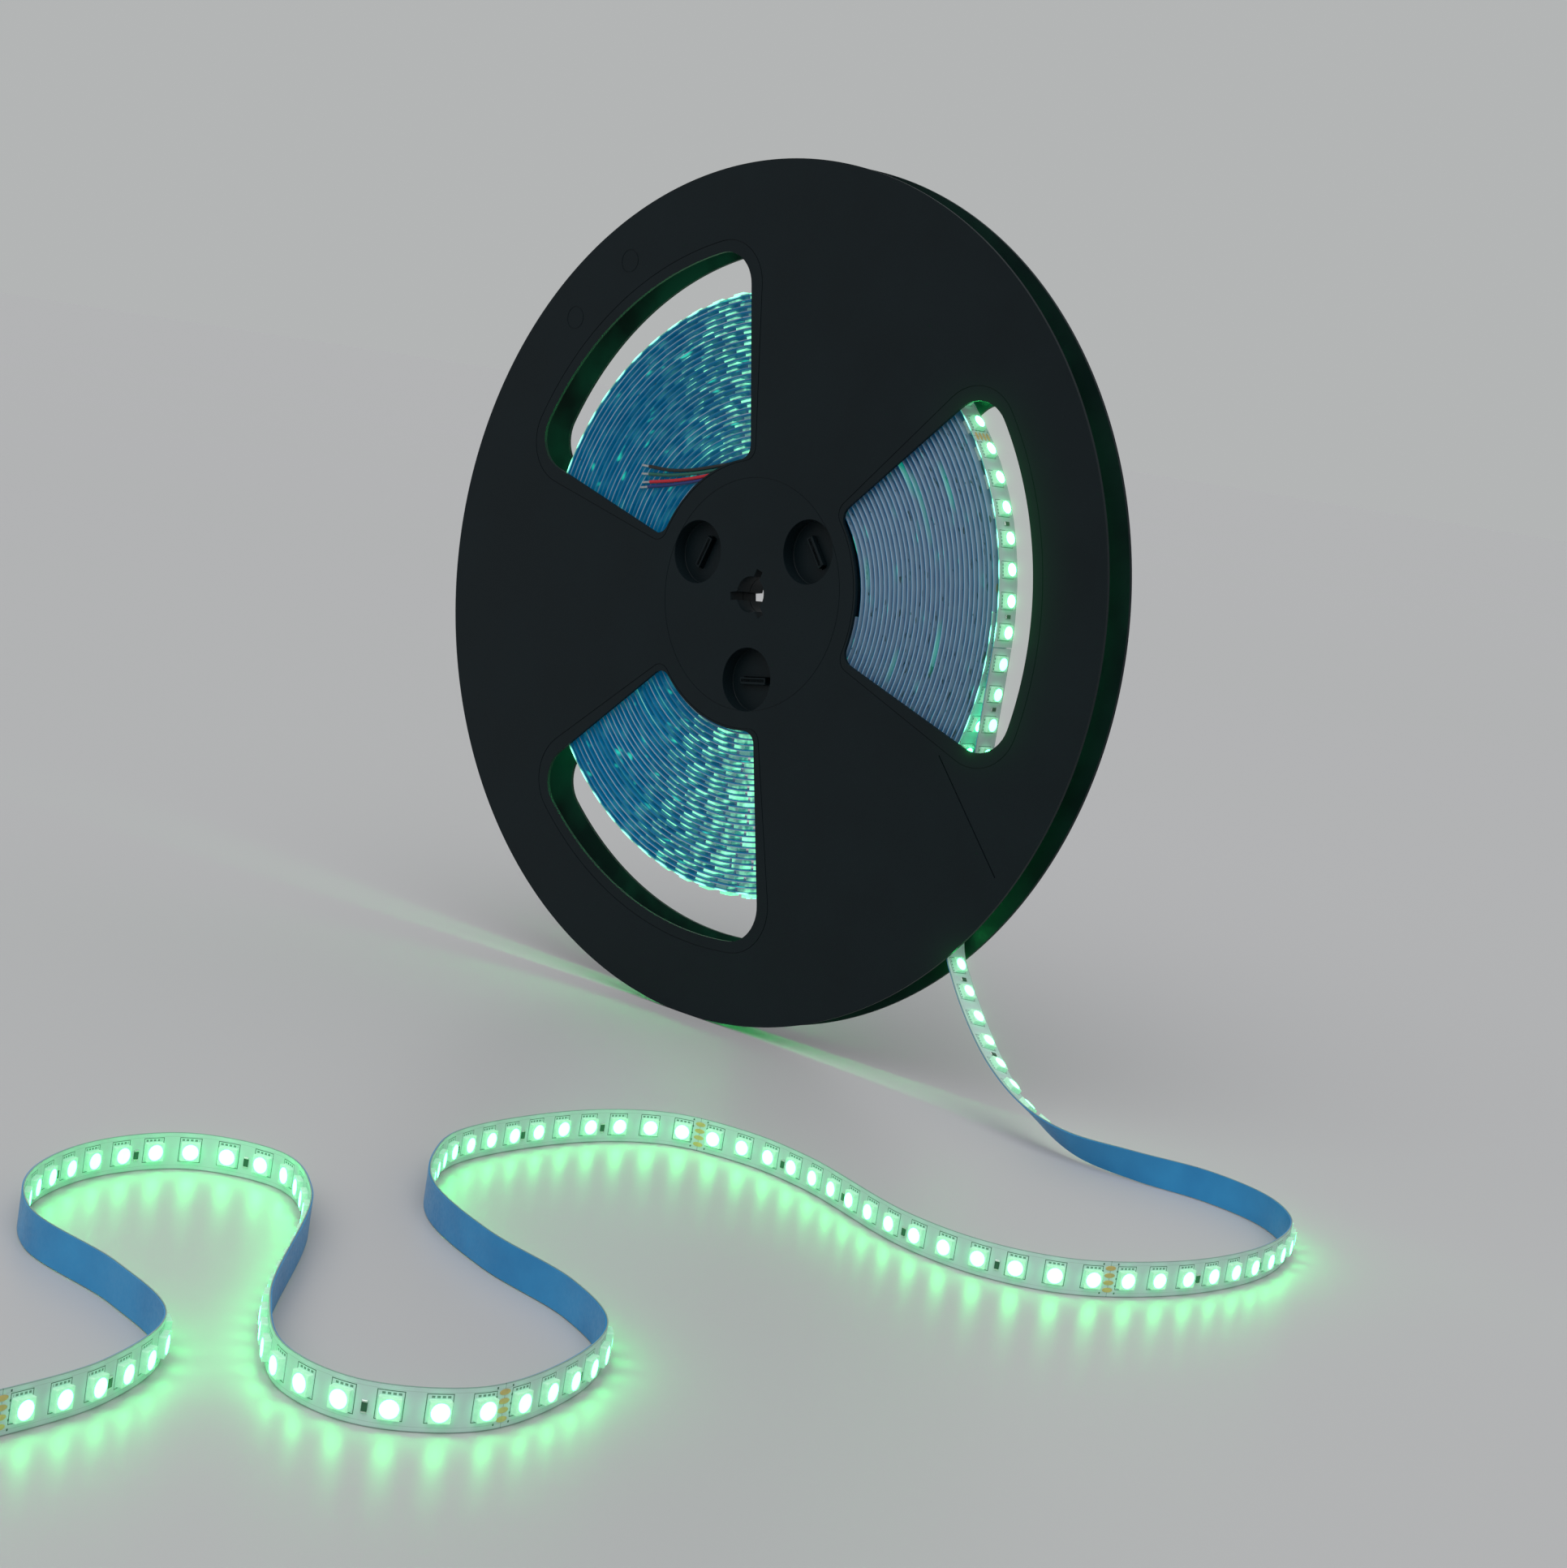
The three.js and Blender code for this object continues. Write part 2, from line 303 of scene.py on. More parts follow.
finishValues = {
    "none": (0, 0, 0, 1),
    "plasticColour": (0.0026, 0.0074, 0.0098, 1),
    "plasticWorn": (0.0038, 0.0094, 0.0122, 1),
    "plasticSpill": (0.0, 0.024, 0.010, 1),
    "boardColour": (0.47, 0.61, 0.59, 1),
    "boardCloud": (0.42, 0.55, 0.54, 1),
    "boardMark": (0.04, 0.09, 0.07, 1),
    "boardHalo": (0.008, 0.044, 0.021, 1),
    "boardEdgeGlow": (0.16, 1.0, 0.52, 1),
    # Painted shade: the wound board's colours are darker and bluer than the loose board's
    "rolledBoardShade": (0.30, 0.42, 0.54, 1),
    "rolledBlueShade": (0.03, 0.19, 0.34, 1),
    # Painted light: green glow on the wound board's inner turns
    "rolledLeakGlow": (0.0, 0.085, 0.042, 1),
    "tapeColour": (0.022, 0.270, 0.560, 1),
    "tapeDark": (0.014, 0.215, 0.480, 1),
    # Painted shade: the wound tape's colours are a darker copy of the loose tape's
    "shadedRolledTape": (0.001, 0.150, 0.330, 1),
    "shadedRolledTapeDark": (0.001, 0.110, 0.260, 1),
    # Painted light on the wound tape: a faint blue glow, green glints and a glow at its edge
    "tapeGlow": (0.0, 0.035, 0.075, 1),
    "tapeGlints": (0.02, 0.55, 0.36, 1),
    "tapeEdgeGlow": (0.30, 1.0, 0.75, 1),
    "caseColour": (0.62, 0.72, 0.66, 1),
    "caseCloud": (0.5, 0.62, 0.56, 1),
    "lensColour": (0.6, 0.8, 0.65, 1),
    "lensCloud": (0.5, 0.72, 0.58, 1),
    # Painted glints: the wound lenses' dim tone on the reel's right side
    "lensDimSide": (0, 0.02, 0.01, 1),
    "ledGreen": (0.035, 1.0, 0.20, 1),
    "ledStrength": 18,
    "rollLedStrength": 40,
    "rolledStrength": 8,
}
# The light in an LED's case: dim and bright patches, and its tone on the reel's right side
caseValues = {
    "ledCase": ((0.10, 1.0, 0.42, 1), (0.30, 1.6, 0.8, 1), (0.020, 0.25, 0.10, 1)),
    "rolledCase": ((0.015, 0.14, 0.10, 1), (0.30, 1.3, 0.66, 1), (0.0, 0.01, 0.01, 1)),
}
# Where the light falls, in metres
lightValues = {
    "spillFrom": 0.1085,
    "spillBright": 0.109,
    "spillFaint": 0.150,
    "spillInside": 0.00585,
    "glitterEnds": (0.012, 0.04),
    # Where the painted blue shade on the wound board fades out
    "blueShadeEnds": (-0.03, 0.03),
}
# The board's printing and its darkened edges in millimetres, from an LED's middle and from the
# board's centre line
printValues = {
    "frameOuter": (3.0, 3.35),
    "frameInner": (2.8, 3.15),
    "frameShift": 0.35,
    "frameTone": 0.95,
    "footReach": 2.35,
    "footLevel": 2.98,
    "footHalf": 0.26,
    "footShift": 0.2,
    "footStep": 1.16,
    "footLength": 0.72,
    "footTone": 0.8,
    "dotStep": 2.05,
    "dotHalf": 0.26,
    "dotDistance": 2.25,
    "dotReach": 0.22,
    "cutHalf": 0.09,
    "cutTone": 0.5,
    "traceLevel": 3.9,
    "traceHalf": 0.07,
    "traceTone": 0.2,
    # Painted shade along the board's edges, over the side's own darker tone
    "edgeShadeFrom": 4.82,
    "edgeShadeTone": 0.5,
    "boardSide": 4.985,
    "tapeSide": 4.83,
}


def plasticFinish():
    finish = Finish("blackPlastic", Roughness=0.5, Specular_IOR_Level=0.17, Emission_Strength=1.0)
    cloud = finish.noise(38, 3)
    grain = finish.noise(1900)
    finish.tint(finish.rescale(cloud, 0.35, 0.7, 0, 1), "plasticColour", "plasticWorn")
    finish.set("Roughness", finish.rescale(cloud + grain * 0.4, 0.4, 1.0, 0.42, 0.58))
    finish.bump(grain, 0.12, 0.0002)
    # The lit outer turn shines on the inside of both flanges, in patches
    values = lightValues
    x, y, z = finish.objectPlace()
    height = z - reelCentre.z
    radius = (x * x + height * height).maths("SQRT")
    spill = finish.rescale(radius, values["spillBright"], values["spillFaint"], 1, 0.2)
    spill = spill * (radius > values["spillFrom"]) * (abs(y) < values["spillInside"])
    spill = spill * finish.rescale(cloud, 0.42, 0.62, 0.12, 1)
    finish.light(spill, "none", "plasticSpill")
    return finish.material


def leftSide(finish, ends):
    # 1 on the reel's left side, where the turns' edges get painted glints and the wound board a
    # painted blue shade, falling to 0 on its right side
    return finish.rescale(finish.objectPlace()[0], *ends, 1, 0)


def fromLed(along):
    pitch = strip["ledPitch"]
    return abs((along % pitch) - pitch / 2)


def edgeSeep(finish, along, level, sideFrom):
    # Beside each LED of the outermost turn the light comes through the strip's edge
    outermost = (along > strip["printFrom"]) * (along < 0)
    return finish.rescale(fromLed(along), 1.4, 3.4, 1, 0.08) * (abs(level) > sideFrom) * outermost


def boardPrintAndEdgeShade(along, across):
    values = printValues
    cell = fromLed(along)
    level = across - halfStrip

    def block(size):
        return (cell < size[0]) * (abs(level - values["frameShift"]) < size[1])

    frames = (block(values["frameOuter"]) - block(values["frameInner"])) * values["frameTone"]
    feet = (cell < values["footReach"]) * (abs(level - values["footLevel"]) < values["footHalf"])
    feet = feet * (((along + values["footShift"]) % values["footStep"]) < values["footLength"])
    unit = strip["cutUnit"] * strip["ledPitch"]
    fromFirst = along - strip["firstCut"] * strip["ledPitch"]
    toCut = abs(((fromFirst + unit / 2) % unit) - unit / 2)
    dotRow = abs((across % values["dotStep"]) - values["dotStep"] / 2) < values["dotHalf"]
    dots = (abs(toCut - values["dotDistance"]) < values["dotReach"]) * dotRow
    cutLine = (toCut < values["cutHalf"]) * values["cutTone"]
    trace = (abs(abs(level) - values["traceLevel"]) < values["traceHalf"]) * values["traceTone"]
    # Painted shade along the board's edges, over the side's own darker tone
    edge = (abs(level) > values["edgeShadeFrom"]) * values["edgeShadeTone"]
    return frames + feet * values["footTone"] + dots + cutLine + trace + edge


def boardFinish():
    # The printing, the painted shade along the edges and the LEDs' glow show on the loose end and
    # on the roll's outermost turn
    finish = Finish("stripBoard", Roughness=0.42, Specular_IOR_Level=0.45, Emission_Strength=4.0)
    along, across = finish.stripPlace()
    cell, level = fromLed(along), across - halfStrip
    outside = along > strip["printFrom"]
    flecks = (finish.noise(1, 2, finish.onStrip(along * 0.16, across * 0.5)) > 0.665) * 0.85
    printAndEdge = outside * boardPrintAndEdgeShade(along, across)
    marks = finish.rescale(printAndEdge + (1 - outside) * flecks, 0, 1, 0, 1)
    cloud = finish.noise(320)
    clouded = finish.rescale(cloud, 0.3, 0.7, 0, 0.4)
    # Painted shade on the wound board, bluer on the reel's left side in turns picked by slow noise
    shadedTurns = finish.rescale(finish.noise(1, 1, finish.onStrip(along * 0.004)), 0.44, 0.56, 1, 0)
    blue = shadedTurns * leftSide(finish, lightValues["blueShadeEnds"])
    base = finish.between(outside, finish.between(blue, "rolledBoardShade", "rolledBlueShade"),
                          finish.between(clouded, "boardColour", "boardCloud"))
    finish.tint(marks, base, "boardMark")
    finish.set("Roughness", finish.rescale(cloud, 0.3, 0.7, 0.36, 0.5))
    halo = finish.rescale(cell * cell + level * level, 6, 32, 1, 0)
    lit = finish.between(halo * halo * outside * (1 - marks), "none", "boardHalo")
    seep = edgeSeep(finish, along, level, printValues["boardSide"])
    lit = finish.between(seep, lit, "boardEdgeGlow")
    # Painted light: the inner turns glow green in slow noise patches
    drift = finish.noise(1, 1, finish.onStrip(along * 0.012))
    leakGlow = finish.rescale(drift, 0.64, 0.72, 0, 1) * (1 - outside)
    finish.light(leakGlow, lit, "rolledLeakGlow")
    finish.bump(marks, 0.3, 0.00005)
    return finish.material


def tapeFinish(name, colour, dark, glow):
    specular = 0.5 - glow * 0.3
    finish = Finish(name, Roughness=0.3, Specular_IOR_Level=specular, Emission_Strength=glow)
    fibre = finish.noise(900)
    finish.tint(finish.patches(60, 3, 0.35, 0.65), colour, dark)
    finish.set("Roughness", finish.rescale(fibre, 0.3, 0.7, 0.32, 0.46))
    finish.bump(fibre, 0.08, 0.0001)
    if glow:
        # Painted light: a faint blue glow with green glints in noise patches, and a glow at the
        # edge beside each LED
        along, across = finish.stripPlace()
        glintNoise = finish.noise(1, 2, finish.onStrip(along * 0.09, across * 0.12))
        lit = finish.between(finish.rescale(glintNoise, 0.63, 0.72, 0, 1), "tapeGlow", "tapeGlints")
        seep = edgeSeep(finish, along, across - halfStrip, printValues["tapeSide"])
        finish.light(seep, lit, "tapeEdgeGlow")
    return finish.material


def caseFinish(name):
    # Light from the lens leaks out of the case's sides
    dim, bright, right = caseValues[name]
    finish = Finish(name, Roughness=0.35, Emission_Strength=1.0)
    finish.tint(finish.patches(800), "caseColour", "caseCloud")
    lit = finish.between(finish.patches(150, 2, 0.42, 0.62), dim, bright)
    finish.light(leftSide(finish, lightValues["glitterEnds"]), right, lit)
    return finish.material


def lensFinish(name, strength, lightsRoom=True):
    finish = Finish(name, Roughness=0.3, Emission_Strength=finishValues[strength],
                    Emission_Color=finishValues["ledGreen"])
    finish.tint(finish.patches(700, 1), "lensColour", "lensCloud")
    if lightsRoom:
        finish.material.cycles.emission_sampling = "FRONT"
    else:
        # Painted glints: the wound lenses glow fully only on the reel's left side and stay dim on
        # its right
        finish.light(leftSide(finish, lightValues["glitterEnds"]), "lensDimSide", "ledGreen")
    return finish.material


def plainFinish(name, colour, second, roughness, scale, **more):
    finish = Finish(name, Roughness=roughness, **more)
    cloud = finish.noise(scale)
    finish.tint(finish.rescale(cloud, 0.3, 0.7, 0, 1), colour, second)
    finish.set("Roughness", finish.rescale(cloud, 0.3, 0.7, roughness - 0.06, roughness + 0.06))
    return finish.material


plastic = plasticFinish()
printedBoard = boardFinish()
tailTape = tapeFinish("stripTape", "tapeColour", "tapeDark", 0)
# The wound tape is painted darker as shade and glows faintly as painted light
rollTape = tapeFinish("shadedRolledTape", "shadedRolledTape", "shadedRolledTapeDark", 1.0)
lensLit = lensFinish("ledLens", "ledStrength")
lensOuter = lensFinish("outerLens", "rollLedStrength")
lensDim = lensFinish("rolledLens", "rolledStrength", lightsRoom=False)
ledCase = caseFinish("ledCase")
rolledCase = caseFinish("rolledCase")
resistorBody = plainFinish("resistorBody", (0.008, 0.035, 0.025, 1), (0.015, 0.05, 0.035, 1),
                           0.35, 900)
resistorEnd = plainFinish("resistorEnd", (0.7, 0.75, 0.72, 1), (0.55, 0.6, 0.58, 1),
                          0.3, 900, Metallic=0.8)
goldPad = plainFinish("goldPad", (0.72, 0.50, 0.20, 1), (0.60, 0.42, 0.18, 1),
                      0.35, 700, Metallic=0.7)
tinnedTip = plainFinish("tinnedTip", (0.62, 0.64, 0.66, 1), (0.45, 0.47, 0.5, 1),
                        0.3, 1500, Metallic=1.0)
print("stage: finishes made")


cameraValues = {
    "place": (0.69841, -0.79189, 0.22569),
    "right": (0.73866964, 0.65597342, 0.15513231),
    "up": (-0.20165722, -0.00455139, 0.97944558),
    "forward": (-0.64319633, 0.75477027, -0.12891981),
    "lens": 67.40,
    "sensor": 36,
}


def makeCamera(values):
    data = bpy.data.cameras.new("photoCamera")
    data.sensor_fit = "HORIZONTAL"
    data.sensor_width = values["sensor"]
    data.lens = values["lens"]
    data.clip_end = 50
    camera = bpy.data.objects.new("photoCamera", data)
    scene.collection.objects.link(camera)
    back = -Vector(values["forward"])
    turned = Matrix((values["right"], values["up"], back)).transposed().to_4x4()
    camera.matrix_world = Matrix.Translation(values["place"]) @ turned
    scene.camera = camera


makeCamera(cameraValues)


tailValues = {
    "floorLevel": 5.15,
    "twistStart": 125,
    "twistEnd": 250,
    "ringsPerLed": 4,
}
floorLevel = tailValues["floorLevel"]
tailPoints = [
    (109.0, 0.5, 154.55),
    (109.3, 0, 72),
    (111.2, -0.5, 51),
    (116.6, -1.5, 42.2),
    (130.8, -6, 28.7),
    (147.2, -12, 17.9),
    (165.3, -17.2, 9.8),
    (185, -20.5, 5.8),
    (208, -18.5, floorLevel),
    (232, -13.5, floorLevel),
    (256, -18, floorLevel),
    (275, -34, floorLevel),
    (286, -60, floorLevel),
    (288.9, -89, floorLevel),
    (284.5, -117, floorLevel),
    (272, -142, floorLevel),
    (252.4, -154, floorLevel),
    (226, -155.4, floorLevel),
    (174.5, -140.2, floorLevel),
    (149, -139, floorLevel),
    (127, -147.5, floorLevel),
    (116, -172, floorLevel),
    (119.5, -226, floorLevel),
    (134, -250, floorLevel),
    (157, -271, floorLevel),
    (194, -285.3, floorLevel),
    (231, -292, floorLevel),
    (257, -306, floorLevel),
    (272.5, -335, floorLevel),
    (276, -364, floorLevel),
    (262, -384, floorLevel),
    (240, -386.5, floorLevel),
    (212, -369, floorLevel),
    (150, -306.5, floorLevel),
    (121, -293.5, floorLevel),
    (100, -306, floorLevel),
    (97.5, -334, floorLevel),
    (113, -365, floorLevel),
    (140, -384, floorLevel),
    (180, -388, floorLevel),
    (212, -398, floorLevel),
    (230, -426, floorLevel),
    (236, -456, floorLevel),
    (237, -468, floorLevel),
]


def smoothCurve(points, stepsEach):
    spots = [Vector(point) for point in points]
    spots.insert(0, spots[0] * 2 - spots[1])
    spots.append(spots[-1] * 2 - spots[-2])
    line = []
    for i in range(1, len(spots) - 2):
        a, b, c, d = spots[i - 1:i + 3]
        ta = (b - a).length ** 0.5
        tb = (c - b).length ** 0.5
        tc = (d - c).length ** 0.5
        leave = ((b - a) / ta - (c - a) / (ta + tb) + (c - b) / tb) * tb
        arrive = ((c - b) / tb - (d - b) / (tb + tc) + (d - c) / tc) * tb
        for k in range(stepsEach):
            t = k / stepsEach
            curve = b * (2 * t ** 3 - 3 * t ** 2 + 1) + leave * (t ** 3 - 2 * t ** 2 + t)
            line.append(curve + c * (3 * t ** 2 - 2 * t ** 3) + arrive * (t ** 3 - t ** 2))
    line.append(spots[-2])
    return line


class Route:
    def __init__(self, line):
        self.line = line
        self.lengths = [0.0]
        for start, end in zip(line, line[1:]):
            self.lengths.append(self.lengths[-1] + (end - start).length)
        self.length = self.lengths[-1]

    def at(self, distance):
        distance = min(max(distance, 0), self.length)
        low, high = 0, len(self.lengths) - 1
        while high - low > 1:
            middle = (low + high) // 2
            if self.lengths[middle] <= distance:
                low = middle
            else:
                high = middle
        part = (distance - self.lengths[low]) / (self.lengths[high] - self.lengths[low])
        return self.line[low].lerp(self.line[high], part)

    def heading(self, distance):
        reach = 0.4
        return (self.at(distance + reach) - self.at(distance - reach)).normalized()


def smoothStep(value, low, high):
    share = min(max((value - low) / (high - low), 0), 1)
    return share * share * (3 - 2 * share)


tailRoute = Route(smoothCurve(tailPoints, 60))
tailLeds = int(tailRoute.length / strip["ledPitch"])
tailLength = tailLeds * strip["ledPitch"]


def tailSection(distance):
    along = tailRoute.heading(distance)
    turn = smoothStep(distance, tailValues["twistStart"], tailValues["twistEnd"]) * math.pi / 2
    across = Vector((0, -math.cos(turn), math.sin(turn)))
    across = (across - along * across.dot(along)).normalized()
    return tailRoute.at(distance), along, across, across.cross(along)


def wobble(angle, start):
    # Two waves that never line up, between -1 and 1
    quick, slow = 1.7, 0.37
    return math.sin(angle * quick + start) * 0.5 + math.sin(angle * slow + start * 2.3) * 0.5


# The outermost turn stands off the roll a little beside the right window
rollValues = {
    "lift": 1.1,
    "liftFrom": 4,
    "liftPeak": 36,
    "liftTo": 80,
    "sway": 0.14,
    "swayStart": 0.4,
    "swayFrom": 40,
    "swayTo": 200,
    "shift": 0.08,
    "stepsPerTurn": 96,
    "litLeds": 66,
    "resistorsTo": 70,
    "padRows": 5,
}


def rollSection(back):
    values = rollValues
    degrees = back * 360
    angle = 2 * math.pi * back
    lift = smoothStep(degrees, values["liftFrom"], values["liftPeak"])
    lift *= 1 - smoothStep(degrees, values["liftPeak"], values["liftTo"])
    radius = strip["rollRadius"] - strip["turnPitch"] * back + lift * values["lift"]
    sway = wobble(angle, values["swayStart"]) * values["sway"]
    sway *= smoothStep(degrees, values["swayFrom"], values["swayTo"])
    normal = Vector((math.cos(angle), 0, math.sin(angle)))
    depth = strip["rollMiddle"] + values["shift"] + sway
    middle = normal * radius + Vector((0, depth, reel["axisHeight"]))
    across = Vector((0, -1, 0))
    return middle, normal.cross(across), across, normal


def backAt(distance):
    radius, pitch = strip["rollRadius"], strip["turnPitch"]
    return (radius - math.sqrt(radius * radius - pitch * distance / math.pi)) / pitch


def makeRibbon(name, sections, distances, profile, finish):
    vertices, faces, uvs = [], [], []
    sides = len(profile)
    for middle, along, across, normal in sections:
        for side, height in profile:
            vertices.append((middle + across * side + normal * height) * mm)
    for i in range(len(sections) - 1):
        for j in range(sides):
            k = (j + 1) % sides
            ring, after = i * sides, (i + 1) * sides
            faces.append((ring + j, after + j, after + k, ring + k))
            start, end = distances[i], distances[i + 1]
            near, far = profile[j][0] + halfStrip, profile[k][0] + halfStrip
            uvs += [(start, near), (end, near), (end, far), (start, far)]
    last = (len(sections) - 1) * sides
    faces.append(tuple(range(sides)))
    faces.append(tuple(last + j for j in reversed(range(sides))))
    uvs += [(distances[0], side + halfStrip) for side, height in profile]
    uvs += [(distances[-1], side + halfStrip) for side, height in reversed(profile)]
    mesh = bpy.data.meshes.new(name)
    mesh.from_pydata(vertices, [], faces)
    layer = mesh.uv_layers.new(name="strip")
    for loop, uv in zip(layer.data, uvs):
        loop.uv = uv
    ribbon = bpy.data.objects.new(name, mesh)
    scene.collection.objects.link(ribbon)
    dress(ribbon, finish)
    chooseOnly(ribbon)
    bpy.ops.object.mode_set(mode="EDIT")
    bpy.ops.mesh.select_all(action="SELECT")
    bpy.ops.mesh.normals_make_consistent(inside=False)
    leaveEdit()
    bpy.ops.object.shade_smooth_by_angle(angle=math.radians(strip["smoothAngle"]))
    return ribbon


def copyAlong(name, model, places):
    corners = [vertex.co.copy() for vertex in model.data.vertices]
    shapes = [tuple(face.vertices) for face in model.data.polygons]
    slots = [face.material_index for face in model.data.polygons]
    smooth = [face.use_smooth for face in model.data.polygons]
    vertices, faces = [], []
    for place in places:
        start = len(vertices)
        vertices += [place @ corner for corner in corners]
        faces += [tuple(start + index for index in shape) for shape in shapes]
    mesh = bpy.data.meshes.new(name)
    mesh.from_pydata(vertices, [], faces)
    mesh.polygons.foreach_set("material_index", slots * len(places))
    mesh.polygons.foreach_set("use_smooth", smooth * len(places))
    for material in model.data.materials:
        mesh.materials.append(material)
    piece = bpy.data.objects.new(name, mesh)
    scene.collection.objects.link(piece)
    return piece


def placeOn(section, side=0.0):
    # On the board's upper face, side millimetres off its centre line
    middle, along, across, normal = section
    turned = Matrix((along, -across, normal)).transposed().to_4x4()
    spot = middle + normal * strip["facesUp"] + across * side
    return Matrix.Translation(spot * mm) @ turned


# One LED: a low case with a round lens, standing on the board
ledValues = {
    "size": 5.0,
    "height": 1.45,
    "sunk": 0.15,
    "cornerBevel": 0.25,
    "rimInset": 0.18,
    "rimRise": 0.06,
    "lensRadius": 2.12,
    "lensRise": 0.04,
    "lensDepth": 0.3,
    "lensInset": 0.25,
    "lensDome": 0.05,
    "lensSides": 20,
    "rolledSides": 8,
}


def raiseTop(piece, inset, rise):
    pickFaces(piece, facingUp)
    bpy.ops.mesh.inset(thickness=inset * mm, depth=0)
    bpy.ops.transform.translate(value=(0, 0, rise * mm))
    leaveEdit()


def makeLed(name, body, lens, lensSides, detailed):
    values = ledValues
    size, tall = values["size"], values["height"] + values["sunk"]
    case = addBox(name, (size, size, tall), (0, 0, (values["height"] - values["sunk"]) / 2))
    if detailed:
        pickEdges(case, lambda a, b: abs(a.x - b.x) + abs(a.y - b.y) < 1e-6)
        bevelPicked(values["cornerBevel"], 2)
        raiseTop(case, values["rimInset"], values["rimRise"])
    middle = values["height"] + values["lensRise"] + values["rimRise"] - values["lensDepth"] / 2
    dish = addShape(name + "Dish", bpy.ops.mesh.primitive_cylinder_add, vertices=lensSides,
                    radius=values["lensRadius"] * mm, depth=values["lensDepth"] * mm,
                    location=(0, 0, middle * mm))
    raiseTop(dish, values["lensInset"], values["lensDome"])
    pickFaces(dish, lambda centre, normal: normal.z < -0.9)
    bpy.ops.mesh.delete(type="FACE")
    leaveEdit()
    dress(case, body, lens)
    dress(dish, body, lens)
    useSlot(dish, 1)
    return joinPieces(name, [case, dish])


resistorValues = {
    "body": (1.25, 2.1, 0.55),
    "bodyLevel": 0.2,
    "bodyBevel": 0.08,
    "end": (1.35, 0.5, 0.5),
    "endLevel": 0.14,
    "endBevel": 0.1,
    "endReach": 1.2,
    "shift": -0.7,
}


def makeResistor():
    values = resistorValues
    parts = [addBox("resistor", values["body"], (0, 0, values["bodyLevel"]))]
    pickEdges(parts[0], topEdge)
    bevelPicked(values["bodyBevel"])
    dress(parts[0], resistorBody, resistorEnd)
    for side in (-1, 1):
        place = (0, side * values["endReach"], values["endLevel"])
        end = addBox("resistorEnd", values["end"], place)
        pickEdges(end, topEdge)
        bevelPicked(values["endBevel"])
        dress(end, resistorBody, resistorEnd)
        useSlot(end, 1)
        parts.append(end)
    return joinPieces("resistor", parts)


padValues = {"count": 4, "step": 2.05, "length": 1.6, "width": 0.68, "height": 0.1, "level": 0.02,
             "bevel": 0.03}


def makePads():
    values = padValues
    pads = []
    for i in range(values["count"]):
        place = (0, (i - (values["count"] - 1) / 2) * values["step"] * mm, values["level"] * mm)
        pad = addShape("pad", bpy.ops.mesh.primitive_cylinder_add, vertices=20, radius=1 * mm,
                       depth=values["height"] * mm, location=place,
                       scale=(values["length"], values["width"], 1))
        pickEdges(pad, topEdge)
        bevelPicked(values["bevel"])
        dress(pad, goldPad)
        pads.append(pad)
    return joinPieces("pads", pads)


boardProfile = [(-5, 0.02), (-5, 0.3), (5, 0.3), (5, 0.02)]
tapeProfile = [(-4.85, -0.3), (-4.85, 0.0), (4.85, 0.0), (4.85, -0.3)]

ledModel = makeLed("ledModel", ledCase, lensLit, ledValues["lensSides"], True)
rolledLedModel = makeLed("rolledLedModel", rolledCase, lensDim, ledValues["rolledSides"], False)
resistorModel = makeResistor()
padsModel = makePads()


def cutPhase(k):
    # LEDs since the last cut mark, and whether a resistor stands there
    phase = (k - strip["firstCut"]) % strip["cutUnit"]
    return phase, phase % strip["resistorStep"] == 0


def makeTail():
    rings = tailLeds * tailValues["ringsPerLed"]
    distances = [tailLength * i / rings for i in range(rings + 1)]
    sections = [tailSection(distance) for distance in distances]
    board = makeRibbon("tailBoard", sections, distances, boardProfile, printedBoard)
    tape = makeRibbon("tailTape", sections, distances, tapeProfile, tailTape)
    pitch = strip["ledPitch"]
    ledPlaces = [placeOn(tailSection((k + 0.5) * pitch)) for k in range(tailLeds)]
    resistorPlaces, padPlaces = [], []
    for k in range(1, tailLeds):
        phase, atResistor = cutPhase(k)
        if phase == 0:
            padPlaces.append(placeOn(tailSection(k * pitch)))
        elif atResistor:
            resistorPlaces.append(placeOn(tailSection(k * pitch), resistorValues["shift"]))
    leds = copyAlong("tailLeds", ledModel, ledPlaces)
    resistors = copyAlong("tailResistors", resistorModel, resistorPlaces)
    pads = copyAlong("tailPads", padsModel, padPlaces)
    path = [tuple(section[0] * mm) for section in sections]
    pieces = [tape, leds, resistors, pads]
    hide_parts("strip_tail")
    rideRoot("strip_tail", board, *pieces)


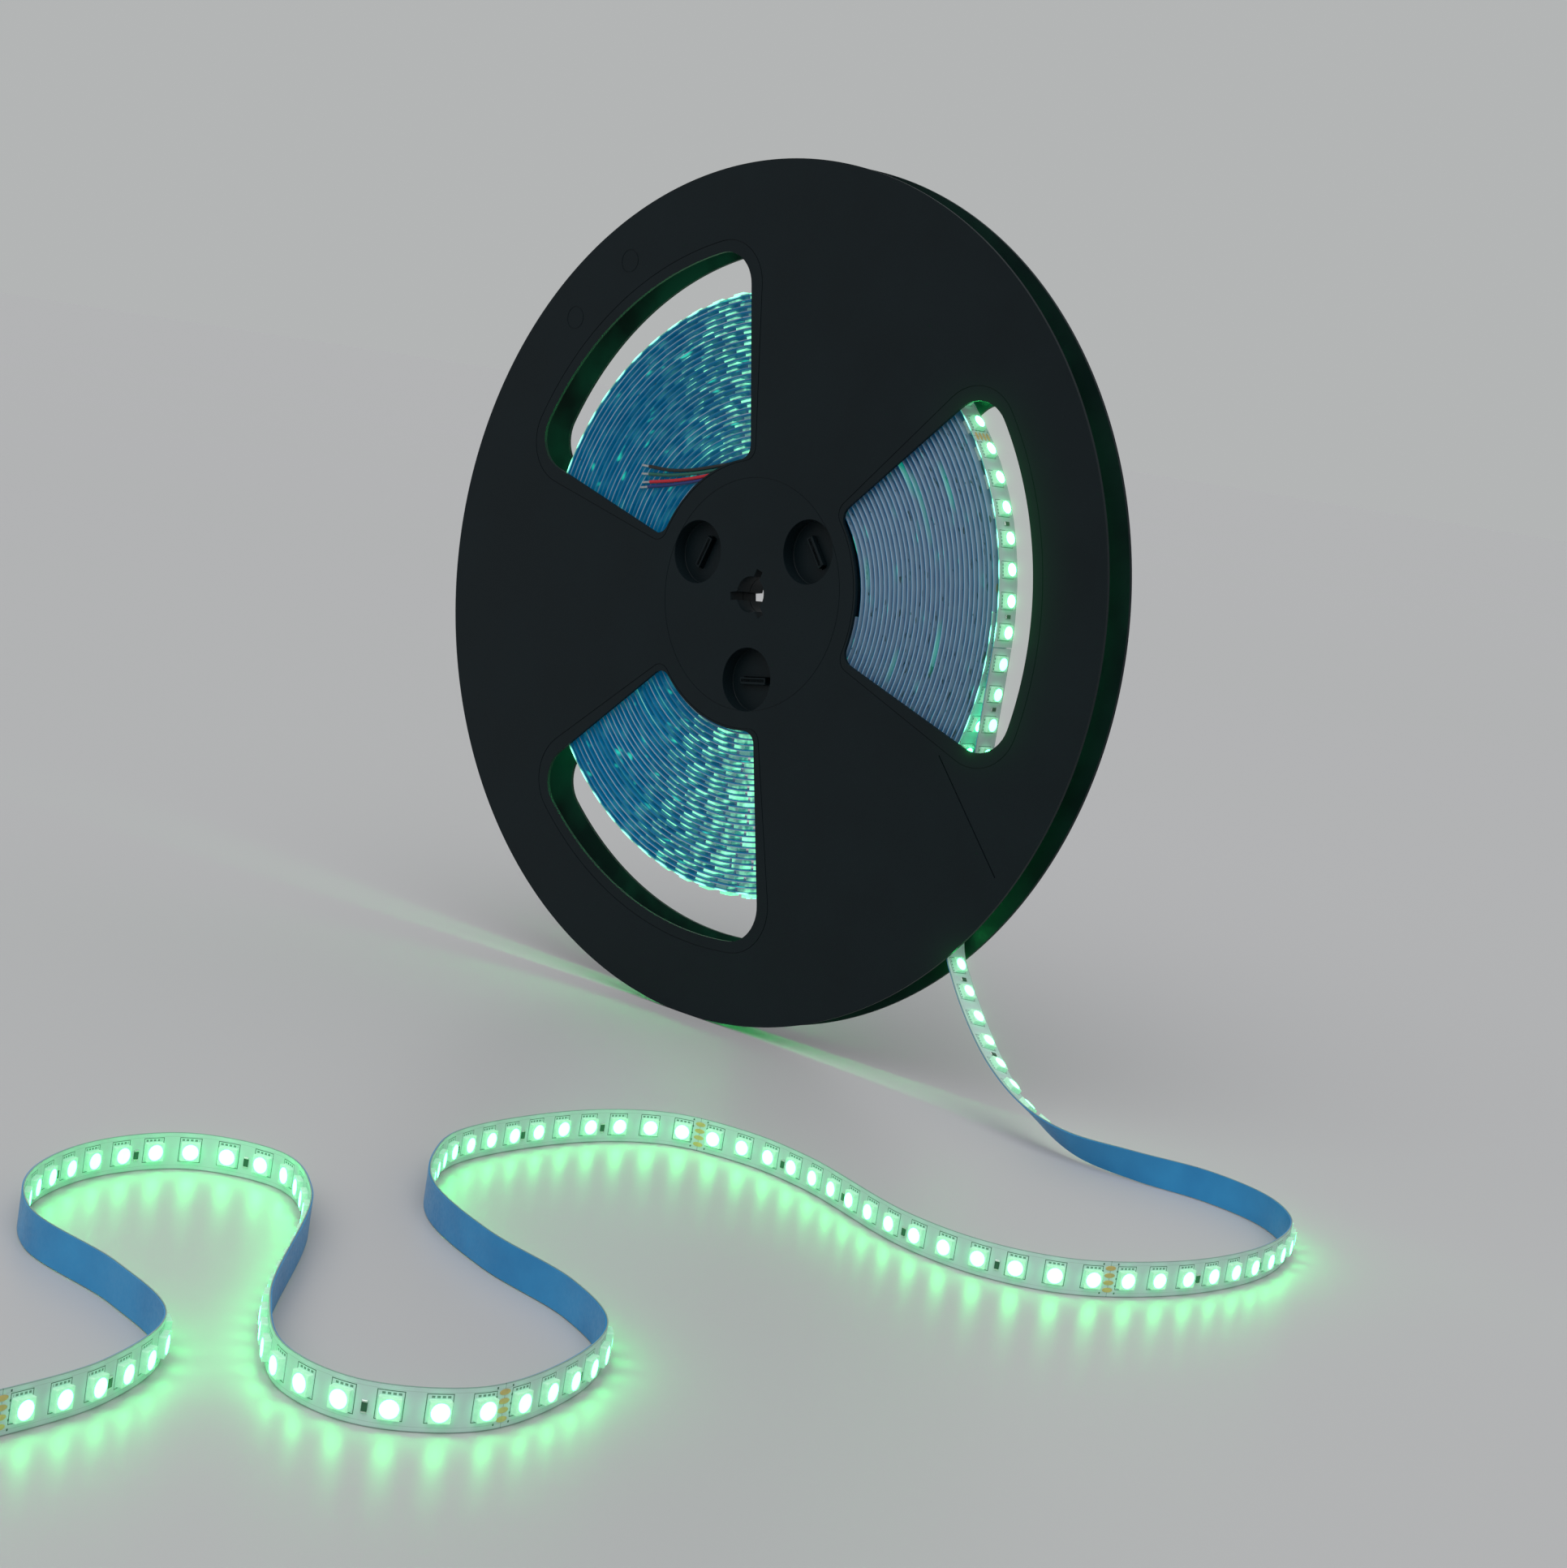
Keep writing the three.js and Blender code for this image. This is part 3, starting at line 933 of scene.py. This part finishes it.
def makeRoll():
    steps = strip["turns"] * rollValues["stepsPerTurn"]
    backs = [strip["turns"] * i / steps for i in range(steps + 1)]
    radius, turnPitch = strip["rollRadius"], strip["turnPitch"]
    distances = [-2 * math.pi * (radius * back - turnPitch * back * back / 2) for back in backs]
    sections = [rollSection(back) for back in backs]
    board = makeRibbon("rollBoard", sections, distances, boardProfile, printedBoard)
    tape = makeRibbon("rollTape", sections, distances, tapeProfile, rollTape)
    pitch = strip["ledPitch"]
    ledPlaces, resistorPlaces, padPlaces = [], [], []
    for k in range(int(-distances[-1] / pitch)):
        ledPlaces.append(placeOn(rollSection(backAt((k + 0.5) * pitch))))
        phase, atResistor = cutPhase(-k)
        if phase == 0:
            padPlaces.append(placeOn(rollSection(backAt(k * pitch))))
        elif atResistor and k < rollValues["resistorsTo"]:
            place = rollSection(backAt(k * pitch))
            resistorPlaces.append(placeOn(place, resistorValues["shift"]))
    lit = rollValues["litLeds"]
    leds = copyAlong("rollOuterLeds", ledModel, ledPlaces[:lit])
    leds.data.materials[1] = lensOuter
    innerLeds = copyAlong("rollInnerLeds", rolledLedModel, ledPlaces[lit:])
    resistors = copyAlong("rollResistors", resistorModel, resistorPlaces)
    pads = copyAlong("rollPads", padsModel, padPlaces[:rollValues["padRows"]])
    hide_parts("strip_roll")
    rideRoot("strip_roll", board, tape, leds, innerLeds, resistors, pads)


makeTail()
print("stage: loose strip made,", tailLeds, "LEDs")
makeRoll()
print("stage: wound strip made")
for model in (ledModel, rolledLedModel, resistorModel, padsModel):
    bpy.data.objects.remove(model, do_unlink=True)


wireValues = {
    "diameter": 1.3,
    "tipDiameter": 0.95,
    "tipLength": 3.5,
    "tipStart": 0.05,
    "tipExtra": 0.2,
    "depth": -5.15,
    "roundness": 4,
    "black": {
        "colour": (0.003, 0.004, 0.004, 1),
        "second": (0.006, 0.007, 0.007, 1),
        "run": [(-20.2, 44.6), (-30, 42), (-40, 39.6), (-50, 38.3), (-60.5, 38.3)],
    },
    "green": {
        "colour": (0.004, 0.080, 0.060, 1),
        "second": (0.006, 0.110, 0.080, 1),
        "run": [(-23, 42.4), (-32, 40.1), (-42, 37.8), (-51, 36.3), (-60, 35.5)],
    },
    "red": {
        "colour": (0.50, 0.008, 0.022, 1),
        "second": (0.42, 0.006, 0.018, 1),
        "run": [(-26.5, 40.2), (-36, 37.4), (-48, 34.6), (-59, 32.7)],
    },
    "blue": {
        "colour": (0.006, 0.020, 0.12, 1),
        "second": (0.008, 0.026, 0.16, 1),
        "run": [(-29.3, 38.1), (-38, 35.5), (-48, 33.1), (-59.6, 30.8)],
    },
}


def makeTube(name, line, radius, finish):
    curve = bpy.data.curves.new(name, "CURVE")
    curve.dimensions = "3D"
    curve.bevel_depth = radius * mm
    curve.bevel_resolution = wireValues["roundness"]
    curve.use_fill_caps = True
    spline = curve.splines.new("POLY")
    spline.points.add(len(line) - 1)
    for point, place in zip(spline.points, line):
        point.co = (*(place * mm), 1)
    piece = bpy.data.objects.new(name, curve)
    scene.collection.objects.link(piece)
    curve.materials.append(finish)
    return piece


def makeWire(colour):
    values = wireValues[colour]
    points = [(x, wireValues["depth"], reel["axisHeight"] + z) for x, z in values["run"]]
    line = smoothCurve(points, 10)
    finish = plainFinish(colour + "Insulation", values["colour"], values["second"], 0.38, 1200)
    wire = makeTube(colour + "Wire", line, wireValues["diameter"] / 2, finish)
    along = (line[-1] - line[-2]).normalized()
    start = line[-1] - along * wireValues["tipStart"]
    tipLine = [start, start + along * (wireValues["tipLength"] + wireValues["tipExtra"])]
    tip = makeTube(colour + "WireTip", tipLine, wireValues["tipDiameter"] / 2, tinnedTip)
    length = sum((b - a).length for a, b in zip(line, line[1:]))
    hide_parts(colour + "_wire")
    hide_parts(colour + "_wire_tip")
    tuple(line[0] * mm)
    rideRoot(colour + "_wire", wire)
    rideRoot("tinned_wire", tip)


for wireColour in ("black", "green", "red", "blue"):
    makeWire(wireColour)
print("stage: lead wires made")


halfValues = {
    "rimSteps": 288,
    "roundSteps": 128,
    "windowInnerCorner": 5,
    "windowOuterCorner": 13,
    "grooveOffset": 4.2,
    "grooveMiddle": 87,
    "grooveInward": 1,
    "grooveWidth": 0.3,
    "grooveDepth": 0.2,
    "pocketRadius": 11.5,
    "pocketWall": 1.2,
    "pocketDistance": 30.5,
    "pocketTurn": 38.5,
    "boreRadius": 6.5,
    "boreWall": 4.5,
    "notchWidth": 3,
    "notchDepth": 3,
    "notchTurn": 72.5,
    "seamRadius": 41.8,
    "markRadius": 140,
    "markTurns": (127.0, 140.9),
    "markSize": 4.4,
    "markLine": 0.5,
    "lineHalf": 0.12,
    "lineDepth": 0.12,
    "slit": ((95.9, -39.7), (127.5, -75.1)),
    "slitDepth": 0.8,
    "slitWidth": 0.45,
    "hookWidth": 12,
    "hookThickness": 1.6,
    "hookGap": 0.3,
    "hookRoom": 0.6,
    "headLength": 2,
    "headThickness": 2.6,
    "headShift": 0.5,
    "headBevel": 0.5,
    "bevel": 0.28,
    "bevelAngle": 40,
    "pocketBevel": 0.12,
    "pocketBevelAngle": 50,
    "smoothAngle": 32,
    "overlap": 0.3,
    "cutLift": 0.5,
    "cutPast": 1,
    "cutWell": 2,
}
outerFace = -(reel["flangeInner"] + reel["flangeThickness"])
innerFace = -reel["flangeInner"]


def arcPoints(x, z, radius, start, end, steps):
    turns = [math.radians(start + (end - start) * i / steps) for i in range(steps + 1)]
    return [(x + radius * math.cos(turn), z + radius * math.sin(turn)) for turn in turns]


def windowOutline(middle, half, inner, outer, innerCorner, outerCorner):
    outerSteps, innerSteps, wideSteps, tightSteps = 40, 20, 12, 10
    outerCentre, innerCentre = outer - outerCorner, inner + innerCorner
    outerTurn = half - math.degrees(math.asin(outerCorner / outerCentre))
    innerTurn = half - math.degrees(math.asin(innerCorner / innerCentre))

    def corner(centre, turn, radius, start, end, steps):
        spot = onReel(centre, middle + turn)
        return arcPoints(spot.x, spot.z, radius, middle + start, middle + end, steps)

    points = arcPoints(0, 0, outer, middle - outerTurn, middle + outerTurn, outerSteps)
    points += corner(outerCentre, outerTurn, outerCorner, outerTurn, half + 90, wideSteps)[1:]
    points += corner(innerCentre, innerTurn, innerCorner, half + 90, innerTurn + 180, tightSteps)
    points += arcPoints(0, 0, inner, middle + innerTurn, middle - innerTurn, innerSteps)[1:-1]
    points += corner(innerCentre, -innerTurn, innerCorner, 180 - innerTurn, 270 - half, tightSteps)
    points += corner(outerCentre, -outerTurn, outerCorner, -half - 90, -outerTurn, wideSteps)[:-1]
    return points


def outlineBlock(name, outline, front, back, rimOnly=0):
    # A filled ring of corners drawn out to the outline, then pulled through the plate
    block = addShape(name, bpy.ops.mesh.primitive_circle_add, vertices=len(outline),
                     radius=10 * mm, fill_type="NGON")
    for vertex, (x, z) in zip(block.data.vertices, outline):
        vertex.co = (x * mm, front * mm, z * mm)
    chooseOnly(block)
    bpy.ops.object.mode_set(mode="EDIT")
    bpy.ops.mesh.select_mode(type="FACE")
    bpy.ops.mesh.select_all(action="SELECT")
    if rimOnly:
        bpy.ops.mesh.inset(thickness=rimOnly * mm, depth=0)
        bpy.ops.mesh.delete(type="FACE")
        bpy.ops.mesh.select_all(action="SELECT")
    pull = {"value": (0, (back - front) * mm, 0)}
    bpy.ops.mesh.extrude_region_move(TRANSFORM_OT_translate=pull)
    bpy.ops.mesh.select_all(action="SELECT")
    bpy.ops.mesh.normals_make_consistent(inside=False)
    leaveEdit()
    return block


def cylinderAt(name, radius, front, back, place=(0, 0), sides=64):
    x, z = place
    return addShape(name, bpy.ops.mesh.primitive_cylinder_add, vertices=sides, radius=radius * mm,
                    depth=abs(back - front) * mm, rotation=(math.pi / 2, 0, 0),
                    location=(x * mm, (front + back) / 2 * mm, z * mm))


def boxAt(name, radius, angle, length, width, front, back):
    spot = onReel(radius, angle)
    size = (width, abs(back - front), length)
    return addBox(name, size, (spot.x, (front + back) / 2, spot.z), math.radians(angle))


def windowCutter(name, middle, offset, inward, front, back, rimOnly=0):
    values = halfValues
    half = reel["windowSpread"] / 2 + math.degrees(math.asin(offset / values["grooveMiddle"]))
    outline = windowOutline(middle, half, reel["windowInner"] - inward,
                            reel["windowOuter"] + offset, values["windowInnerCorner"],
                            values["windowOuterCorner"] + offset)
    return outlineBlock(name, outline, front, back, rimOnly)


def boreCutters(front, back):
    values = halfValues
    cutters = [cylinderAt("bore", values["boreRadius"], front, back)]
    reach = values["boreRadius"] + values["notchDepth"]
    for i in range(3):
        cutters.append(boxAt("notch", reach / 2, values["notchTurn"] + 120 * i,
                             values["notchWidth"], reach, front, back))
    return cutters


def lineRing(name, inside, outside, place, sides):
    # A shallow ring that cuts a moulded line into the outer face
    values = halfValues
    ring = cylinderAt(name, outside, outerFace - values["cutLift"],
                      outerFace + values["lineDepth"], place, sides)
    cutAway(ring, cylinderAt(name + "Inside", inside, outerFace - values["cutPast"],
                             outerFace + values["cutPast"], place, sides))
    return ring


def slitCutter():
    (x, z), (endX, endZ) = halfValues["slit"]
    length, turn = math.hypot(endX - x, endZ - z), math.atan2(endZ - z, endX - x)
    return addBox("slit", (length, halfValues["slitDepth"], halfValues["slitWidth"]),
                  ((x + endX) / 2, outerFace, (z + endZ) / 2), turn)


def makeFlange():
    values = halfValues
    far, near = outerFace - values["cutWell"], innerFace + values["cutWell"]
    flange = cylinderAt("flange", reel["axisHeight"], outerFace, innerFace,
                        sides=values["rimSteps"])
    cutters, grooves = [], []
    for i in range(3):
        middle = reel["windowTurn"] + 120 * i
        cutters.append(windowCutter("window", middle, 0, 0, far, near))
        grooves.append(windowCutter("groove", middle, values["grooveOffset"],
                                    values["grooveInward"], outerFace - values["cutLift"],
                                    outerFace + values["grooveDepth"], values["grooveWidth"]))
        spot = onReel(values["pocketDistance"], values["pocketTurn"] + 120 * i)
        cutters.append(cylinderAt("pocket", values["pocketRadius"], far, near, (spot.x, spot.z)))
    cutters += boreCutters(far, near)
    cutAway(flange, joinPieces("cutters", cutters), selfCrossing=True)
    useModifier(flange, "BEVEL", width=values["bevel"] * mm, segments=2, limit_method="ANGLE",
                angle_limit=math.radians(values["bevelAngle"]))
    half = values["lineHalf"]
    grooves.append(lineRing("seam", values["seamRadius"] - half, values["seamRadius"] + half,
                            (0, 0), values["roundSteps"]))
    for angle in values["markTurns"]:
        spot = onReel(values["markRadius"], angle)
        size = values["markSize"]
        grooves.append(lineRing("mark", size - values["markLine"], size, (spot.x, spot.z), 40))
    grooves.append(slitCutter())
    cutAway(flange, joinPieces("grooves", grooves))
    return flange


def makeDrum():
    steps = halfValues["roundSteps"]
    drum = cylinderAt("drum", reel["drumRadius"], innerFace - halfValues["overlap"],
                      -reel["seam"], sides=steps)
    cutAway(drum, cylinderAt("drumInside", reel["drumRadius"] - reel["drumWall"],
                             innerFace - halfValues["cutPast"], halfValues["cutPast"],
                             sides=steps))
    return drum


def makeBoreTube():
    values = halfValues
    tube = cylinderAt("boreTube", values["boreRadius"] + values["boreWall"],
                      innerFace - values["overlap"], -reel["seam"])
    cutters = boreCutters(innerFace - values["cutPast"], values["cutPast"])
    cutAway(tube, joinPieces("boreCutters", cutters), selfCrossing=True)
    return tube


def makePocket(angle):
    values = halfValues
    spot = onReel(values["pocketDistance"], angle)
    floorTop = -reel["seam"] - values["pocketWall"]
    cup = cylinderAt("cup", values["pocketRadius"] + values["pocketWall"],
                     innerFace - values["overlap"], -reel["seam"], (spot.x, spot.z))
    cutAway(cup, cylinderAt("hollow", values["pocketRadius"], innerFace - values["cutPast"],
                            floorTop, (spot.x, spot.z)))
    cutAway(cup, boxAt("slotHole", values["pocketDistance"], angle,
                       values["hookWidth"] + values["hookRoom"],
                       values["hookThickness"] + values["hookRoom"],
                       floorTop - values["cutPast"], values["cutPast"]))
    useModifier(cup, "BEVEL", width=values["pocketBevel"] * mm, segments=1,
                limit_method="ANGLE", angle_limit=math.radians(values["pocketBevelAngle"]))
    return cup


def makeHook(angle):
    values = halfValues
    distance, width = values["pocketDistance"], values["hookWidth"]
    end = reel["seam"] + values["pocketWall"] + values["hookGap"] + values["headLength"]
    hook = boxAt("hook", distance, angle, width, values["hookThickness"],
                 innerFace - values["overlap"], end)
    head = boxAt("hookHead", distance + values["headShift"], angle, width,
                 values["headThickness"], end - values["headLength"], end)
    pickEdges(head, lambda a, b: min(a.y, b.y) > (end - 0.1) * mm)
    bevelPicked(values["headBevel"], 2)
    return [hook, head]


def makeHalf():
    # The hooks catch in the other half's pockets, which lie mirrored about the first window
    pieces = [makeFlange(), makeDrum(), makeBoreTube()]
    for i in range(3):
        pieces.append(makePocket(halfValues["pocketTurn"] + 120 * i))
        pieces += makeHook(2 * reel["windowTurn"] - halfValues["pocketTurn"] + 120 * i)
    for piece in pieces:
        chooseOnly(piece)
        bpy.ops.object.shade_smooth_by_angle(angle=math.radians(halfValues["smoothAngle"]))
        useModifier(piece, "WEIGHTED_NORMAL", keep_sharp=True)
    return joinPieces("frontHalf", pieces)


frontHalf = makeHalf()
backHalf = copyPiece(frontHalf, "backHalf")
flipAxis = onReel(1, reel["windowTurn"])
backHalf.data.transform(Matrix.Rotation(math.pi, 4, flipAxis))
for half, side in ((frontHalf, "front"), (backHalf, "back")):
    half.data.transform(Matrix.Translation(reelCentre))
    dress(half, plastic)
    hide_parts(side + "_flange", side + "_hub", side + "_sleeve")
    rideRoot("black_plastic", half)
print("stage: reel halves made")


studioValues = {
    "floorGrey": (0.50, 0.497, 0.508, 1),
    "floorCloud": (0.495, 0.50, 0.50, 1),
    "floorSize": 60,
    "worldGrey": (0.452, 0.463, 0.463, 1),
    "sunHeading": (-0.35, 0.55, -1.0),
    "sunStrength": 1.66,
    "sunSpread": 75,
    "halo": {"Threshold": 2.0, "Maximum": 6.0, "Strength": 0.1, "Size": 0.06},
}


def makeStudio():
    # The floor runs to the horizon and the world behind it has the same grey
    values = studioValues
    floor = addShape("studioFloor", bpy.ops.mesh.primitive_plane_add, size=values["floorSize"])
    finish = Finish("studioGrey", Roughness=0.4, Specular_IOR_Level=0.3)
    clouded = finish.rescale(finish.noise(1.2, 1), 0.4, 0.6, 0, 0.4)
    finish.tint(clouded, values["floorGrey"], values["floorCloud"])
    dress(floor, finish.material)
    world = bpy.data.worlds.new("studioWorld")
    world.use_nodes = True
    world.node_tree.nodes["Background"].inputs["Color"].default_value = values["worldGrey"]
    scene.world = world
    light = bpy.data.lights.new("sun", "SUN")
    light.energy = values["sunStrength"]
    light.angle = math.radians(values["sunSpread"])
    lamp = bpy.data.objects.new("sun", light)
    scene.collection.objects.link(lamp)
    lamp.rotation_euler = Vector(values["sunHeading"]).to_track_quat("-Z", "Y").to_euler()
    lamp.location = (0, 0, 2)


def makeHalo():
    # The lit lenses bleed a little into what is around them
    scene.use_nodes = True
    tree = scene.node_tree
    tree.nodes.clear()
    layers = tree.nodes.new("CompositorNodeRLayers")
    glare = tree.nodes.new("CompositorNodeGlare")
    glare.glare_type = "BLOOM"
    glare.quality = "HIGH"
    for socket, value in studioValues["halo"].items():
        glare.inputs[socket].default_value = value
    result = tree.nodes.new("CompositorNodeComposite")
    tree.links.new(layers.outputs["Image"], glare.inputs["Image"])
    tree.links.new(glare.outputs["Image"], result.inputs["Image"])


makeStudio()
makeHalo()
scene.view_settings.view_transform = "Standard"
print("stage: studio made")
